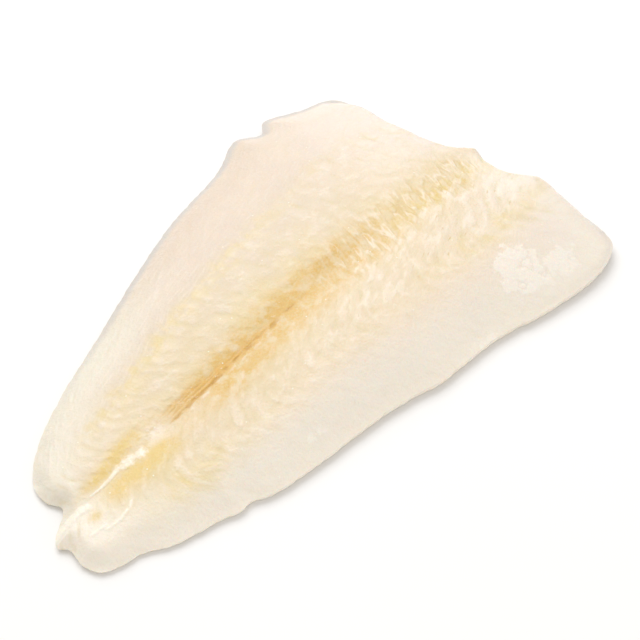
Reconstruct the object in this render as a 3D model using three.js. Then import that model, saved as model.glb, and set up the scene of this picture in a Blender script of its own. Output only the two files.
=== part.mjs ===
// A skinless side of a flatfish, frozen whole and lying on its flat skin side.
// Millimetres, +Z up. The seam down the middle runs along +X from the tail end to the head cut,
// and +Y is the left half as seen from the tail. The origin is under the middle of the piece.
import * as THREE from 'three';

// The outline in plan, as [along, across] from the tail end of the seam, in one loop.
// Each stretch starts at a corner or on the seam, and runs to the start of the next.
const TAIL_RIGHT = [[-8, 0], [-11, -4.5], [-8.5, -8.5], [-10, -18]];
const RIGHT_EDGE = [
  [-7.5, -27], [3, -32.3], [11, -34], [22, -41.3], [44, -48], [54, -52], [60.5, -52],
  [68, -56.3], [90, -61], [122, -65], [136, -67], [156, -71.6], [166, -75], [203, -79],
  [221, -83], [229, -86], [276, -93.8],
];
const HEAD_RIGHT = [[296.5, -88], [302, -76], [306, -52], [309.5, -36], [301, -19], [302, -6]];
const HEAD_LEFT = [[306.5, 3], [297.5, 18], [293.7, 43], [297.5, 77]];
const LEFT_EDGE = [
  [293.8, 96], [274, 104.5], [253.5, 113.5], [246, 107.5], [232.5, 115], [207, 104.9],
  [163, 96.3], [122, 83.2], [81, 68], [45, 55], [18, 41],
];
const TAIL_LEFT = [[4, 27], [2, 16], [4.5, 10], [3, 6.8], [-3, 3.2]];

// Thickness of the flesh at the tail end, in the thick loin and at the head cut.
const TAIL_THICKNESS = 9.5;
const LOIN_THICKNESS = 20;
const HEAD_THICKNESS = 18;
const LOIN_STARTS = 0.55;
const HEAD_STARTS = 0.85;

// The share of that thickness that each half loses on its way out to the rim.
const LEFT_OUTER_DROP = 0.4;
const RIGHT_OUTER_DROP = 0.2;
const DROP_STARTS = 0.35;

// The falling rim: its share of each half's width, its reach at both ends, and where it is widest.
const LEFT_RIM = 0.18;
const RIGHT_RIM = 0.34;
const END_RIM = 7;
const END_REACH = 25;
const WIDEST_SHARE = 0.35;
const UNDERCUT = 0.5;
const UNDERCUT_SHARE = 0.4;
const BASE_INSET = 1.8;

// The valley along the seam, the furrow between loin and fin muscle, and the tendon at the tail.
const SEAM_DEPTH = 2.6;
const SEAM_HALF_WIDTH = 9;
const FURROW_DEPTH = 0.8;
const FURROW_HALF_WIDTH = 4;
const LEFT_FURROW = 0.56;
const RIGHT_FURROW = 0.48;
const TENDON_HEIGHT = 1.6;
const TENDON_HALF_WIDTH = 3;
const TENDON_ACROSS = -1;
const TENDON_FADES = [8, 50];

// The flakes: thin blocks of muscle whose front edges run out from the seam as chevrons.
const FLAKES = 36;
const FLAKES_FROM = 0.022;
const FLAKES_TO = 0.976;
const FLAKE_GROWTH = 0.33;
const FLAKE_STEPS = [[0, -0.55], [0.25, 0.45], [0.62, 0.2]];
const TAIL_RELIEF = 0.4;
const HEAD_RELIEF = 0.8;
const WEAKEST_FLAKE = 0.6;
const STRONGEST_FLAKE = 1.3;
const FLAKE_SEED = 7;

// Along its front edge a flake comes and goes in waves, and it flattens past the furrow.
const WAVES_ACROSS = 9;
const WAVE_SHARE = 0.3;
const OUTER_RELIEF = 0.35;
const OUTER_FADE = 0.2;

// How far a front edge runs back to the furrow and forwards again, away from both ends.
const LEFT_SWEEP = 22;
const RIGHT_SWEEP = 38;
const FLAKE_RETURN = 24;
const SWEEP_FADE = 0.26;

// Extra lines that follow the fall at both ends, and the columns from seam to rim.
const END_LINES = [0, 0.0015, 0.005, 0.0115];
const COLUMNS = 18;
const OUTLINE_SAMPLES = 40;

const { lerp, clamp, smoothstep, seededRandom } = THREE.MathUtils;
const bump = (distance, halfWidth) => Math.exp(-((distance / halfWidth) ** 2));

// The whole outline as one smooth closed curve, and each of its stretches by length.
const stretches = [TAIL_RIGHT, RIGHT_EDGE, HEAD_RIGHT, HEAD_LEFT, LEFT_EDGE, TAIL_LEFT];
const knots = stretches.flat().map(([along, across]) => new THREE.Vector3(along, across, 0));
const outline = new THREE.CatmullRomCurve3(knots, true, 'centripetal');
const outlineSamples = outline.getPoints(knots.length * OUTLINE_SAMPLES);

function stretchByLength(number, reversed) {
  const first = stretches.slice(0, number).flat().length * OUTLINE_SAMPLES;
  const last = first + stretches[number].length * OUTLINE_SAMPLES;
  const points = outlineSamples.slice(first, last + 1);
  if (reversed) points.reverse();
  const lengths = [0];
  for (let i = 1; i < points.length; i++) {
    lengths.push(lengths[i - 1] + points[i].distanceTo(points[i - 1]));
  }
  return (share) => {
    const wanted = clamp(share, 0, 1) * lengths.at(-1);
    const next = Math.max(1, lengths.findIndex((length) => length >= wanted));
    const between = (wanted - lengths[next - 1]) / (lengths[next] - lengths[next - 1]);
    return points[next - 1].clone().lerp(points[next], between);
  };
}

// The two halves of the piece, each bounded by the seam, its edge and its part of both ends.
const leftHalf = {
  tail: stretchByLength(5, true),
  edge: stretchByLength(4, true),
  head: stretchByLength(3, false),
  drop: LEFT_OUTER_DROP,
  rim: LEFT_RIM,
  furrow: LEFT_FURROW,
  sweep: LEFT_SWEEP,
};
const rightHalf = {
  tail: stretchByLength(0, false),
  edge: stretchByLength(1, false),
  head: stretchByLength(2, true),
  drop: RIGHT_OUTER_DROP,
  rim: RIGHT_RIM,
  furrow: RIGHT_FURROW,
  sweep: RIGHT_SWEEP,
};

// A point in plan: u runs from the tail end to the head cut, v from the seam out to the rim.
function planPoint(half, u, v) {
  const edge = half.edge(u);
  const seam = half.tail(0).lerp(half.head(0), u);
  const acrossEnds = half.tail(v).lerp(half.head(v), u);
  const corners = half.tail(0).lerp(half.tail(1), v).lerp(half.head(0).lerp(half.head(1), v), u);
  return seam.lerp(edge, v).add(acrossEnds).sub(corners);
}

function distanceToOutline(point) {
  let nearest = Infinity;
  for (const sample of outlineSamples) nearest = Math.min(nearest, sample.distanceToSquared(point));
  return Math.sqrt(nearest);
}

// A flake's front edge sweeps back towards the tail as far as the furrow, then forwards again.
function flakeSweep(half, u, v) {
  const back = -half.sweep * Math.min(v / half.furrow, 1);
  const forward = FLAKE_RETURN * Math.max(0, (v - half.furrow) / (1 - half.furrow));
  const fade = smoothstep(u, 0, SWEEP_FADE) * (1 - smoothstep(u, 1 - SWEEP_FADE, 1));
  return (fade * (back + forward)) / outline.getPoint(0).distanceTo(rightHalf.head(0));
}

// The lines across the piece: the falling ends, and the steps of every flake between them.
function crossLines() {
  seededRandom(FLAKE_SEED);
  const lines = [];
  for (let flake = 0; flake < FLAKES; flake++) {
    const strength = lerp(WEAKEST_FLAKE, STRONGEST_FLAKE, seededRandom());
    const wave = seededRandom() * 2 * Math.PI;
    for (const [place, height] of FLAKE_STEPS) {
      const share = (flake + place) / FLAKES;
      const grown = share * (1 - FLAKE_GROWTH) + share * share * FLAKE_GROWTH;
      const relief = height * strength * lerp(TAIL_RELIEF, HEAD_RELIEF, share);
      lines.push({ u: lerp(FLAKES_FROM, FLAKES_TO, grown), relief, wave });
    }
  }
  const plain = (u) => ({ u, relief: 0, wave: 0 });
  const tailLines = END_LINES.map(plain);
  const headLines = END_LINES.map((u) => plain(1 - u)).reverse();
  return [...tailLines, ...lines, ...headLines];
}

// Height of the flesh before its rim falls away.
function fleshHeight(half, u, v, point, line) {
  const across = Math.abs(point.y);
  const edgeAcross = Math.abs(half.edge(u).y);
  const loin = lerp(TAIL_THICKNESS, LOIN_THICKNESS, smoothstep(u, 0, LOIN_STARTS));
  const thickness = lerp(loin, HEAD_THICKNESS, smoothstep(u, HEAD_STARTS, 1));
  const outer = thickness * (1 - half.drop * smoothstep(v, DROP_STARTS, 1));
  const seam = SEAM_DEPTH * bump(across, SEAM_HALF_WIDTH);
  const furrow = FURROW_DEPTH * bump(across - half.furrow * edgeAcross, FURROW_HALF_WIDTH);
  const tendonFade = 1 - smoothstep(point.x, ...TENDON_FADES);
  const tendon = TENDON_HEIGHT * tendonFade * bump(point.y - TENDON_ACROSS, TENDON_HALF_WIDTH);
  const wavy = 1 - WAVE_SHARE + WAVE_SHARE * Math.sin(WAVES_ACROSS * v + line.wave);
  const outward = lerp(1, OUTER_RELIEF, smoothstep(v, half.furrow, half.furrow + OUTER_FADE));
  const flake = line.relief * wavy * outward;
  return outer - seam - furrow + tendon + flake;
}

// A vertex of the upper surface, which falls away to the widest line along the rim.
function topVertex(half, line, v) {
  const u = line.u + flakeSweep(half, line.u, v);
  const point = planPoint(half, u, v);
  const height = fleshHeight(half, u, v, point, line);
  const fromEnd = Math.min(point.distanceTo(half.tail(v)), point.distanceTo(half.head(v)));
  const sideRim = half.rim * Math.abs(half.edge(u).y);
  const rim = lerp(END_RIM, sideRim, smoothstep(fromEnd, 0, END_REACH));
  const inward = clamp(distanceToOutline(point) / rim, 0, 1);
  const falling = 1 - (1 - inward) ** 2;
  point.z = height * lerp(WIDEST_SHARE, 1, falling);
  return point;
}

// A loop below the widest one, moved inwards from it.
function lowerLoop(loop, inset, heightShare) {
  return loop.map((point, i) => {
    const before = loop.at(i - 1);
    const after = loop[(i + 1) % loop.length];
    const inward = new THREE.Vector3(before.y - after.y, after.x - before.x, 0).normalize();
    const moved = point.clone().addScaledVector(inward, inset);
    moved.z = point.z * heightShare;
    return moved;
  });
}

function buildFillet() {
  const lines = crossLines();
  const grid = lines.map((line) => {
    const row = [];
    for (let column = -COLUMNS; column <= COLUMNS; column++) {
      const half = column < 0 ? rightHalf : leftHalf;
      row.push(topVertex(half, line, smoothstep(Math.abs(column), 0, COLUMNS)));
    }
    return row;
  });

  // The widest loop runs anticlockwise: right edge, head cut, left edge, tail end.
  const lastRow = grid.length - 1;
  const lastColumn = 2 * COLUMNS;
  const widest = [];
  for (let row = 0; row < lastRow; row++) widest.push(grid[row][0]);
  for (let column = 0; column < lastColumn; column++) widest.push(grid[lastRow][column]);
  for (let row = lastRow; row > 0; row--) widest.push(grid[row][lastColumn]);
  for (let column = lastColumn; column > 0; column--) widest.push(grid[0][column]);
  const undercut = lowerLoop(widest, UNDERCUT, UNDERCUT_SHARE);
  const base = lowerLoop(widest, BASE_INSET, 0);

  const vertices = [...grid.flat(), ...undercut, ...base];
  const number = new Map(vertices.map((vertex, i) => [vertex, i]));
  const triangles = [];
  const addTriangle = (...corners) => triangles.push(...corners.map((corner) => number.get(corner)));
  const addQuad = (a, b, c, d) => {
    addTriangle(a, b, c);
    addTriangle(a, c, d);
  };
  for (let row = 0; row < lastRow; row++) {
    for (let column = 0; column < lastColumn; column++) {
      const ahead = grid[row + 1];
      addQuad(grid[row][column], ahead[column], ahead[column + 1], grid[row][column + 1]);
    }
  }
  for (const [upper, lower] of [[widest, undercut], [undercut, base]]) {
    upper.forEach((corner, i) => {
      const next = (i + 1) % upper.length;
      addQuad(corner, lower[i], lower[next], upper[next]);
    });
  }
  for (const [a, b, c] of THREE.ShapeUtils.triangulateShape(base, [])) {
    addTriangle(base[a], base[c], base[b]);
  }

  const geometry = new THREE.BufferGeometry().setFromPoints(vertices).setIndex(triangles);
  geometry.computeBoundingBox();
  const middle = geometry.boundingBox.getCenter(new THREE.Vector3());
  geometry.translate(-middle.x, -middle.y, 0);
  geometry.computeVertexNormals();
  const flesh = new THREE.MeshStandardMaterial({ color: 0xf3e6d3, roughness: 0.4, metalness: 0 });
  const fillet = new THREE.Mesh(geometry, flesh);
  fillet.name = 'fillet';
  return fillet;
}

const part = new THREE.Group();
part.add(buildFillet());
export default part;
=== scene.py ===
# %% [markdown]
# # A frozen halibut fillet
# A halibut side is one slab of white flesh. It lies on its flat skin side, thin at the tail end
# and broad at the head cut. A seam runs down its middle where the backbone was, and blocks of
# muscle, the flakes, run out from it as chevrons. This lesson builds the slab as one fine mesh on
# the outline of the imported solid, and gives it the colours of flesh under a thin glaze of ice.

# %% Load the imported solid
import math

import bmesh
import bpy
import numpy as np
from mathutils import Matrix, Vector


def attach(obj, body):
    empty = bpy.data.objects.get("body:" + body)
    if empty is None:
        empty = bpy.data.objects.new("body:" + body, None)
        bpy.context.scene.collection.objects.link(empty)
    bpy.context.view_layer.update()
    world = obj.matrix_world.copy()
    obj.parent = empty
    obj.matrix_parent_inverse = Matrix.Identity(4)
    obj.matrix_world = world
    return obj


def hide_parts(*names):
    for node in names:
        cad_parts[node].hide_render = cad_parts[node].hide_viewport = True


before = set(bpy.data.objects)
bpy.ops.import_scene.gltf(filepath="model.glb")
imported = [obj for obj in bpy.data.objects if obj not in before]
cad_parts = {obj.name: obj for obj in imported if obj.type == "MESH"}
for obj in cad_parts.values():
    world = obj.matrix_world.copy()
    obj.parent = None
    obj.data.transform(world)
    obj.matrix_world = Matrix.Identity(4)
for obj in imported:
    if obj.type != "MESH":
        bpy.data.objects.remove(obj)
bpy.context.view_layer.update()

MM = 0.001
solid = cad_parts["fillet"]

# %% [markdown]
# ## The outline
# The cut edge of the fillet is its most telling line, so it is not drawn again here. It is read
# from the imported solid: the outline is where faces that look up meet faces that look down. A
# copy of the solid is merged first, because a loaded model is a heap of loose triangles.

# %% Read the outline of the solid
WELD = 0.01 * MM


def read_outline(source):
    """The widest line of the solid as ordered points in plan, anticlockwise, in millimetres."""
    shape = bmesh.new()
    shape.from_mesh(source.data)
    bmesh.ops.remove_doubles(shape, verts=shape.verts, dist=WELD)
    shape.normal_update()
    after = {}
    for face in shape.faces:
        if face.normal.z <= 0:
            continue
        for loop in face.loops:
            below = [other for other in loop.edge.link_faces if other is not face]
            if below and below[0].normal.z <= 0:
                after[loop.vert] = loop.link_loop_next.vert
    point = next(iter(after))
    ordered = []
    for _ in range(len(after)):
        ordered.append((point.co.x / MM, point.co.y / MM))
        point = after[point]
    shape.free()
    return np.array(ordered)


outline = read_outline(solid)
print("outline points:", len(outline))

# %% [markdown]
# ## A map of the fillet
# Everything on the fillet is placed from its seam, as a fishmonger would point it out: so far
# along from the tail, so far across to the left or right. The outline is cut into six stretches
# at its four corners and at both ends of the seam. Each stretch becomes a smooth path that can
# be asked for a point at any share of its length.

# %% Cut the outline into stretches
SEAM_AT_TAIL = (-157.0, -10.6)
SEAM_AT_HEAD = (157.5, -7.6)
TAIL_CORNERS = {"left": (-145.0, 16.4), "right": (-156.5, -37.6)}
HEAD_CORNERS = {"left": (144.8, 85.4), "right": (147.5, -98.6)}
TAB_LENGTH = 8.0
NICK_WAVES = [5.3, 8.9, 14.0, 23.0]
NICK_DEPTH = 0.3
NICK_FADE = 10.0


def nearest(place):
    return int(np.argmin(np.linalg.norm(outline - np.array(place), axis=1)))


def stretch(start, end):
    """The outline's points from one place to another, anticlockwise."""
    count = (nearest(end) - nearest(start)) % len(outline)
    return outline[(nearest(start) + np.arange(count + 1)) % len(outline)]


def smooth_path(points):
    """A function that gives the point at any share of a path's length, by cubic pieces."""
    gaps = np.linalg.norm(np.diff(points, axis=0), axis=1)
    lengths = np.concatenate([[0.0], np.cumsum(gaps)])
    slopes = np.gradient(points, lengths, axis=0)

    def ragged(place):
        """Small nicks in the cut edge, a sum of waves that don't repeat together."""
        waves = [np.sin(place * 2 * math.pi / wave + wave) for wave in NICK_WAVES]
        ends = np.minimum(place, lengths[-1] - place)
        return NICK_DEPTH * sum(waves) / len(waves) * np.clip(ends / NICK_FADE, 0.0, 1.0)

    def at(share):
        wanted = np.clip(share, 0.0, 1.0) * lengths[-1]
        before = np.clip(np.searchsorted(lengths, wanted) - 1, 0, len(gaps) - 1)
        step = gaps[before][..., None]
        part = (wanted[..., None] - lengths[before][..., None]) / step
        square = part * part
        cube = square * part
        start = (2 * cube - 3 * square + 1) * points[before]
        end = (3 * square - 2 * cube) * points[before + 1]
        leave = (cube - 2 * square + part) * step * slopes[before]
        arrive = (cube - square) * step * slopes[before + 1]
        ahead = slopes[before]
        sideways = np.stack([-ahead[..., 1], ahead[..., 0]], axis=-1)
        return start + end + leave + arrive + sideways * ragged(wanted)[..., None]

    return at


halves = {
    "left": {
        "tail": smooth_path(stretch(TAIL_CORNERS["left"], SEAM_AT_TAIL)[::-1]),
        "edge": smooth_path(stretch(HEAD_CORNERS["left"], TAIL_CORNERS["left"])[::-1]),
        "head": smooth_path(stretch(SEAM_AT_HEAD, HEAD_CORNERS["left"])),
    },
    "right": {
        "tail": smooth_path(stretch(SEAM_AT_TAIL, TAIL_CORNERS["right"])),
        "edge": smooth_path(stretch(TAIL_CORNERS["right"], HEAD_CORNERS["right"])),
        "head": smooth_path(stretch(HEAD_CORNERS["right"], SEAM_AT_HEAD)[::-1]),
    },
}
tab_tip, seam_across = outline[nearest(SEAM_AT_TAIL)]
tail_start = tab_tip + TAB_LENGTH
print("seam lies at y =", round(float(seam_across), 2), "mm")

# %% [markdown]
# ## The blank
# The blank is a fine grid laid over the plan, like pastry rolled out before it is shaped. One set
# of lines runs from tail to head, the other from the seam out to the rim. A grid keeps its lines
# close where the form turns fast, at the seam and at the rim, where an even remesh would not.

# %% Lay out the grid lines
ROWS = 440
END_ROWS = 10
END_ZONE = 0.02
END_GROWTH = 1.4
COLUMNS = 92
STEP_AT_SEAM = 0.5
STEP_AT_RIM = 0.08


def mix(low, high, share):
    return low * (1 - share) + high * share


def smooth_share(value, low, high):
    share = np.clip((value - low) / (high - low), 0.0, 1.0)
    return share * share * (3 - 2 * share)


def row_shares():
    """Shares of the length, closer together at both ends."""
    end = END_ZONE * (np.arange(END_ROWS) / END_ROWS) ** END_GROWTH
    middle = np.linspace(END_ZONE, 1 - END_ZONE, ROWS)
    return np.concatenate([end, middle, 1 - end[::-1]])


def column_shares():
    """Shares of the way from seam to rim, closer together at the seam and at the rim."""
    part = np.linspace(0.0, 1.0, COLUMNS + 1)
    square = part * part
    cube = square * part
    leave = STEP_AT_SEAM * (cube - 2 * square + part)
    arrive = STEP_AT_RIM * (cube - square)
    return leave + arrive + 3 * square - 2 * cube


def lay_half(side):
    """Plan points of one half between its four border lines, and their shares both ways."""
    half = halves[side]
    lengthwise, reach = np.meshgrid(row_shares(), column_shares(), indexing="ij")
    u = lengthwise[..., None]
    v = reach[..., None]
    both_ends = np.array([0.0, 1.0])
    tail_seam, tail_corner = half["tail"](both_ends)
    head_seam, head_corner = half["head"](both_ends)
    tail = half["tail"](reach)
    head = half["head"](reach)
    corners = mix(mix(tail_seam, tail_corner, v), mix(head_seam, head_corner, v), u)
    across = mix(mix(tail_seam, head_seam, u), half["edge"](lengthwise), v)
    plan = across + mix(tail, head, u) - corners
    return {"plan": plan, "lengthwise": lengthwise, "reach": reach}


left_half = lay_half("left")
right_half = lay_half("right")
top = {
    name: np.concatenate([right_half[name][:, :0:-1], left_half[name]], axis=1)
    for name in left_half
}
row_count, column_count = top["reach"].shape
print("grid of", row_count, "rows and", column_count, "columns")

# %% [markdown]
# Each point of the blank then learns what the shaping steps will ask of it: where it is, how far
# in from the cut edge it is, and how far the rim's fall reaches there. Left and right differ, so
# values that change sides do so over a narrow band at the seam, which leaves no step.

# %% Chart the halves and the rim
FURROW = {"left": 0.53, "right": 0.46}
FALL_SHARE = {"left": 0.25, "right": 0.5}
END_FALL = {"tail": 10.0, "head": 10.5}
TAIL_FALL_SHARE = 0.4
FALL_SETTLES = 0.35
SEAM_BLEND = 8.0
SHORTEST = 1e-12


def loop_of(values):
    """The grid's border values in order: right edge, head cut, left edge, tail end."""
    head = values[-1, :-1]
    left = values[:0:-1, -1]
    tail = values[0, :0:-1]
    return np.concatenate([values[:-1, 0], head, left, tail])


def distance_to_line(points, line):
    """Distance in plan from each point to a line of straight pieces."""
    start = line[:-1]
    piece = np.diff(line, axis=0)
    length = np.maximum((piece**2).sum(axis=1), SHORTEST)
    offset = points[:, None, :] - start[None]
    part = np.clip((offset * piece[None]).sum(axis=2) / length[None], 0.0, 1.0)
    gap = offset - part[..., None] * piece[None]
    return np.sqrt((gap**2).sum(axis=2).min(axis=1))


def distance_to_rim(lines):
    """Distance in plan from every point of the grid to the nearest of some lines."""
    rows = [[distance_to_line(row, line) for row in top["plan"]] for line in lines]
    return np.min(rows, axis=0)


def width_of(side):
    """Width of one half at each row, in millimetres."""
    return np.abs(halves[side]["edge"](row_shares())[:, 1] - seam_across)[:, None]


from_side = distance_to_rim([top["plan"][:, 0], top["plan"][:, -1]])
from_tail = distance_to_rim([top["plan"][0]])
from_head = distance_to_rim([top["plan"][-1]])
along = top["plan"][..., 0] - tail_start
across = top["plan"][..., 1] - seam_across
left_side = smooth_share(across, -SEAM_BLEND, SEAM_BLEND)
half_width = mix(width_of("right"), width_of("left"), left_side)
furrow_at = mix(FURROW["right"], FURROW["left"], left_side) * half_width
fall_share = mix(FALL_SHARE["right"], FALL_SHARE["left"], left_side)
settled = smooth_share(top["lengthwise"], 0.0, FALL_SETTLES)
fall_reach = mix(np.minimum(fall_share, TAIL_FALL_SHARE), fall_share, settled) * half_width
chart = {
    "along": along,
    "across": across,
    "lengthwise": top["lengthwise"],
    "reach": top["reach"],
    "left_side": left_side,
    "past_furrow": np.abs(across) - furrow_at,
    "inward": np.minimum(from_side, np.minimum(from_tail, from_head)),
    "side_fall": np.clip(1 - from_side / fall_reach, 0.0, 1.0),
    "tail_fall": np.clip(1 - from_tail / END_FALL["tail"], 0.0, 1.0),
    "head_fall": np.clip(1 - from_head / END_FALL["head"], 0.0, 1.0),
    "level": np.ones(top["reach"].shape),
}
print("deepest place is", round(float(chart["inward"].max()), 1), "mm in from the cut edge")

# %% [markdown]
# ## Counting flakes
# A flake leaves the seam, runs back towards the tail as far as the furrow between loin and fin
# muscle, and turns forwards again to the rim. On the right it leans back much more than on the
# left. Each point follows its flake in to the seam, and the place where it arrives says how many
# flakes lie behind it. Flakes grow from about six millimetres at the tail to eleven at the head.

# %% Count the flakes behind every point
FLAKES = 38
FLAKE_GROWTH = 0.3
LEFT_LEAN_PLACES = [0.0, 70.0, 120.0, 200.0, 260.0, 320.0]
LEFT_LEANS = [0.8, 0.8, 0.6, 0.35, 0.4, 0.5]
RIGHT_LEAN = 1.15
OUTER_LEANS = {"left": 1.6, "right": 1.0}
APEX_RADIUS = 4.0


def soft_least(first, second):
    """The lesser of two distances, with the corner between them rounded."""
    return -APEX_RADIUS * np.log(np.exp(-first / APEX_RADIUS) + np.exp(-second / APEX_RADIUS))


def flake_count():
    """Counts flakes from the tail; the whole number changes at each flake's front edge."""
    distance = np.abs(across)
    inner = np.maximum(soft_least(distance, furrow_at), 0.0)
    left_lean = np.interp(along, LEFT_LEAN_PLACES, LEFT_LEANS)
    lean = mix(RIGHT_LEAN, left_lean, left_side)
    outer_lean = mix(OUTER_LEANS["right"], OUTER_LEANS["left"], left_side)
    at_seam = along + lean * inner - outer_lean * (distance - inner)
    place = at_seam / (along.max() - along.min())
    plain = 1 - FLAKE_GROWTH
    under_root = np.maximum(plain * plain + 4 * FLAKE_GROWTH * place, 0.0)
    return FLAKES * (np.sqrt(under_root) - plain) / (2 * FLAKE_GROWTH)


chart["flake"] = flake_count()
print("flakes at the seam:", round(float(chart["flake"][-1, COLUMNS]), 1))

# %% [markdown]
# ## Marks at the tail
# A white tendon lies along the seam near the tail, and thickens towards the head. Behind it a
# knobbly tab ends the seam, and two thin strands curl on the right. Each is a short line on the
# map, and every point learns how far it is from that line.

# %% Measure the distance to each mark
TENDON = [(14.5, 1.0), (19.8, 0.6), (27.3, 1.0), (33.1, 2.0), (39.5, 0.8), (45.5, -0.4)]
TAB = [(9.6, -2.3), (7.0, -0.7), (1.3, -0.3), (-4.5, 0.0), (-7.5, -0.6)]
STRANDS = [
    [(0.5, -14.1), (5.0, -14.7), (8.4, -15.3)],
    [(6.5, -16.8), (14.4, -18.0), (21.9, -16.5), (24.8, -14.2)],
]


def distance_to_mark(path):
    """Distance from every point of the grid to a line that is placed from the seam."""
    line = np.array(path) + (tail_start, seam_across)
    return np.stack([distance_to_line(row, line) for row in top["plan"]])


chart["tendon"] = distance_to_mark(TENDON)
chart["tab"] = distance_to_mark(TAB)
chart["strand"] = np.min([distance_to_mark(path) for path in STRANDS], axis=0)
print("each point carries", len(chart), "values")

# %% [markdown]
# ## Closing the blank
# Below its widest line the rim curls under to the flat base. These rings are copies of the
# outline, each one further in and lower, so the blank is a closed skin from the start. The way
# in is measured over a few millimetres of outline, so rings don't cross at tight corners.

# %% Close the blank with rings and a base
RINGS = 6
BASE_INSET = 2.0
CORNER_SPAN = 4.0


def inward_directions(line):
    """Unit directions from a closed line towards its inside."""
    painted_light_reach = np.concatenate([line, line[:1]])
    gaps = np.linalg.norm(np.diff(painted_light_reach, axis=0), axis=1)
    places = np.concatenate([[0.0], np.cumsum(gaps)])

    def at(place):
        round_trip = place % places[-1]
        columns = [np.interp(round_trip, places, painted_light_reach[:, axis]) for axis in (0, 1)]
        return np.stack(columns, axis=1)

    ahead = at(places[:-1] + CORNER_SPAN) - at(places[:-1] - CORNER_SPAN)
    inward = np.stack([-ahead[:, 1], ahead[:, 0]], axis=1)
    return inward / np.linalg.norm(inward, axis=1)[:, None]


rim_line = loop_of(top["plan"])


def blank_points():
    """All points in plan, and their chart, from the top grid down to the base ring."""
    plans = [top["plan"].reshape(-1, 2)]
    charts = {name: [values.ravel()] for name, values in chart.items()}
    inward = inward_directions(rim_line)
    for ring in range(1, RINGS + 1):
        turn = ring / RINGS * math.pi / 2
        plans.append(rim_line + inward * BASE_INSET * (1 - math.cos(turn)))
        for name, values in chart.items():
            share = 1 - math.sin(turn) if name == "level" else 1.0
            charts[name].append(loop_of(values) * share)
    return np.concatenate(plans), {name: np.concatenate(parts) for name, parts in charts.items()}


def blank_faces():
    """Quads of the top, then of the rings, then one face for the base."""
    number = np.arange(row_count * column_count).reshape(row_count, column_count)
    corners = [number[:-1, :-1], number[1:, :-1], number[1:, 1:], number[:-1, 1:]]
    faces = np.stack([corner.ravel() for corner in corners], axis=1).tolist()
    upper = loop_of(number)
    first = number.size
    for _ in range(RINGS):
        lower = first + np.arange(len(upper))
        ring = [upper, lower, np.roll(lower, -1), np.roll(upper, -1)]
        faces += np.stack(ring, axis=1).tolist()
        upper = lower
        first += len(lower)
    faces.append(upper[::-1].tolist())
    return faces


blank_plan, blank_chart = blank_points()
flat = np.concatenate([blank_plan * MM, np.zeros((len(blank_plan), 1))], axis=1)
blank_mesh = bpy.data.meshes.new("fillet_flesh")
blank_mesh.from_pydata(flat.tolist(), [], blank_faces())
for name, values in blank_chart.items():
    layer = blank_mesh.attributes.new(name, "FLOAT", "POINT")
    layer.data.foreach_set("value", values.astype(np.float32))
blank_mesh.shade_smooth()
blank = bpy.data.objects.new("fillet_flesh", blank_mesh)
bpy.context.scene.collection.objects.link(blank)
print("blank has", len(blank_mesh.vertices), "points and", len(blank_mesh.polygons), "faces")

# %% [markdown]
# ## Writing node trees as sums
# The fillet is shaped by one Geometry Nodes tree, and coloured by one shader tree. Both do a lot
# of arithmetic, and wiring Math nodes one by one is hard to read. The small class below stands
# for a value inside a tree, and adds the Math node for each sign that is written with it.

# %% A value inside a node tree
class Field:
    """A value in a node tree. Arithmetic on it adds Math nodes to the tree."""

    def __init__(self, tree, socket):
        self.tree = tree
        self.socket = socket

    def math(self, operation, *others):
        node = self.tree.nodes.new("ShaderNodeMath")
        node.operation = operation
        for place, value in enumerate((self, *others)):
            feed(self.tree, value, node.inputs[place])
        return Field(self.tree, node.outputs[0])

    def __add__(self, other):
        return self.math("ADD", other)

    def __sub__(self, other):
        return self.math("SUBTRACT", other)

    def __mul__(self, other):
        return self.math("MULTIPLY", other)

    def __truediv__(self, other):
        return self.math("DIVIDE", other)

    def __rsub__(self, other):
        return self * -1.0 + other

    def flipped(self):
        """One minus the value."""
        return 1.0 - self


def feed(tree, value, socket):
    """Links a field to a socket, or sets the socket to a plain number."""
    if isinstance(value, Field):
        tree.links.new(value.socket, socket)
    else:
        socket.default_value = value


print("sums of fields become Math nodes")

# %% Shapes that a field can take
def rise(field, low, high):
    """Goes smoothly from 0 at low to 1 at high."""
    node = field.tree.nodes.new("ShaderNodeMapRange")
    node.interpolation_type = "SMOOTHSTEP"
    for place, value in enumerate((field, low, high)):
        feed(field.tree, value, node.inputs[place])
    return Field(field.tree, node.outputs[0])


def hump(field, half_width):
    """1 where the field is 0, falling away on both sides."""
    scaled = field / half_width
    return (scaled * scaled * -1.0).math("EXPONENT")


def between(low, high, share):
    """Goes from low to high as the share goes from 0 to 1."""
    return share * (high - low) + low


def drawn(field, knots):
    """Follows a line drawn through a few knots. Both values of a knot lie between 0 and 1."""
    node = field.tree.nodes.new("ShaderNodeFloatCurve")
    line = node.mapping.curves[0]
    for knot in knots[1:-1]:
        line.points.new(*knot)
    line.points[0].location = knots[0]
    line.points[len(knots) - 1].location = knots[-1]
    for point in line.points:
        point.handle_type = "AUTO_CLAMPED"
    node.mapping.update()
    feed(field.tree, field, node.inputs["Value"])
    return Field(field.tree, node.outputs[0])


def vector(x, y, z):
    """Three fields or numbers as one vector field."""
    tree = next(value.tree for value in (x, y, z) if isinstance(value, Field))
    node = tree.nodes.new("ShaderNodeCombineXYZ")
    for place, value in enumerate((x, y, z)):
        feed(tree, value, node.inputs[place])
    return Field(tree, node.outputs[0])


PLAIN = 1.0
SOFT = 2.0
UNEVEN = 3.0
NOISE_MIDDLE = 0.5
NOISE_SPREAD = 4.0


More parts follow.
